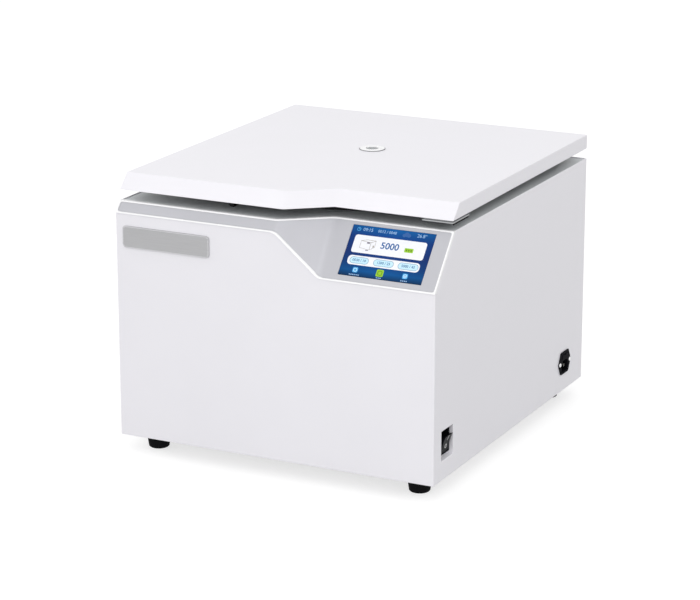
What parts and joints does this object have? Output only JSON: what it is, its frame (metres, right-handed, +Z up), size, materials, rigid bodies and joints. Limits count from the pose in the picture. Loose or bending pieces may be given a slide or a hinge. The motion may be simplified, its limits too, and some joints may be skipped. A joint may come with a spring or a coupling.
{
  "type": "benchtop centrifuge",
  "caption": "Benchtop centrifuge with a hinged lid, a faceted front panel with a touch screen, a swing-out bucket rotor in a steel bowl, and rubber feet.",
  "frame": {"origin": "on the bench surface, at the middle of the body's footprint", "axes": "+Z up; the front faces -Y; +X to the right as seen from the front"},
  "size_m": [0.4321, 0.476, 0.3542],
  "materials": {
    "painted_steel": "fine textured white powder coat",
    "white_moulding": "satin white moulding",
    "silver_film": "silver-grey panel film",
    "silver_plate": "satin plate, bare",
    "screen_glass": "printed touch glass",
    "clear_glass": "clear",
    "zinc_steel": "zinc-plated",
    "stainless": "brushed stainless steel",
    "cast_aluminium": "die-cast",
    "rotor_aluminium": "machined and anodised",
    "nickel": "nickel-plated brass",
    "foot_rubber": "matte",
    "seal_rubber": "matte",
    "black_plastic": "satin black moulding",
    "dark_plastic": "dark grey moulding",
    "circuit_board": "green lacquered board"
  },
  "bodies": {
    "housing": {"base_pan": "painted_steel", "housing_shell": "painted_steel", "rear_panel": "painted_steel", "deck_panel": "painted_steel", "foot_front_left": "foot_rubber", "foot_front_right": "foot_rubber", "foot_rear_left": "foot_rubber", "foot_rear_right": "foot_rubber", "fascia_bezel": "white_moulding", "fascia_inlay": "silver_film", "nameplate": "silver_plate", "touch_screen": "screen_glass", "display_module": "zinc_steel", "control_board": "circuit_board", "chamber_bowl": "stainless", "chamber_seal": "seal_rubber", "guard_ring": "zinc_steel", "shaft_boot": "seal_rubber", "motor_housing": "cast_aluminium", "shaft_bearing_lower": "zinc_steel", "shaft_bearing_upper": "zinc_steel", "motor_plate": "zinc_steel", "motor_frame": "zinc_steel", "motor_damper_1": "seal_rubber", "motor_damper_2": "seal_rubber", "motor_damper_3": "seal_rubber", "hinge_bracket_left": "zinc_steel", "hinge_bracket_right": "zinc_steel", "hinge_pin_left": "stainless", "hinge_pin_right": "stainless", "lock_housing": "dark_plastic", "switch_bezel": "black_plastic", "inlet_body": "black_plastic", "inlet_blade_line": "nickel", "inlet_blade_neutral": "nickel", "inlet_blade_earth": "nickel", "drive_board": "circuit_board", "fan_frame": "dark_plastic"},
    "lid": {"lid_shell": "painted_steel", "lid_liner": "dark_plastic", "lid_corner_strip": "zinc_steel", "sight_ring": "white_moulding", "sight_glass": "clear_glass", "hinge_leaf_left": "zinc_steel", "hinge_leaf_right": "zinc_steel", "latch_hook": "zinc_steel"},
    "rotor": {"motor_shaft": "stainless", "rotor_yoke": "rotor_aluminium", "rotor_nut": "stainless"},
    "bucket_a": {"bucket_1": "rotor_aluminium"},
    "bucket_b": {"bucket_2": "rotor_aluminium"},
    "bucket_c": {"bucket_3": "rotor_aluminium"},
    "bucket_d": {"bucket_4": "rotor_aluminium"},
    "rocker": {"switch_rocker": "black_plastic"},
    "pawl": {"lock_pawl": "stainless"},
    "fuses": {"fuse_drawer": "black_plastic"},
    "fan": {"fan_impeller": "dark_plastic"}
  },
  "joints": [
    {"name": "lid_hinge", "type": "hinge", "parent": "housing", "child": "lid", "pos_m": [0, 0.232, 0.3285], "axis": [-1, 0, 0], "range_deg": [0, 70]},
    {"name": "rotor_spin", "type": "hinge", "parent": "housing", "child": "rotor", "pos_m": [0, 0.038, 0.2655], "axis": [0, 0, 1], "continuous": true},
    {"name": "bucket_1_swing", "type": "hinge", "parent": "rotor", "child": "bucket_a", "pos_m": [0.095, 0.038, 0.2655], "axis": [0, -1, 0], "range_deg": [0, 90]},
    {"name": "bucket_2_swing", "type": "hinge", "parent": "rotor", "child": "bucket_b", "pos_m": [0, 0.133, 0.2655], "axis": [1, 0, 0], "range_deg": [0, 90]},
    {"name": "bucket_3_swing", "type": "hinge", "parent": "rotor", "child": "bucket_c", "pos_m": [-0.095, 0.038, 0.2655], "axis": [0, 1, 0], "range_deg": [0, 90]},
    {"name": "bucket_4_swing", "type": "hinge", "parent": "rotor", "child": "bucket_d", "pos_m": [0, -0.057, 0.2655], "axis": [-1, 0, 0], "range_deg": [0, 90]},
    {"name": "switch_rock", "type": "hinge", "parent": "housing", "child": "rocker", "pos_m": [0.2064, -0.1965, 0.0656], "axis": [0, -1, 0], "range_deg": [0, 30]},
    {"name": "lock_slide", "type": "slide", "parent": "housing", "child": "pawl", "axis": [-1, 0, 0], "range_m": [0, 0.008]},
    {"name": "fuse_drawer_slide", "type": "slide", "parent": "housing", "child": "fuses", "axis": [1, 0, 0], "range_m": [0, 0.012]},
    {"name": "fan_spin", "type": "hinge", "parent": "housing", "child": "fan", "pos_m": [-0.15, 0.2247, 0.1135], "axis": [0, 1, 0], "continuous": true}
  ]
}
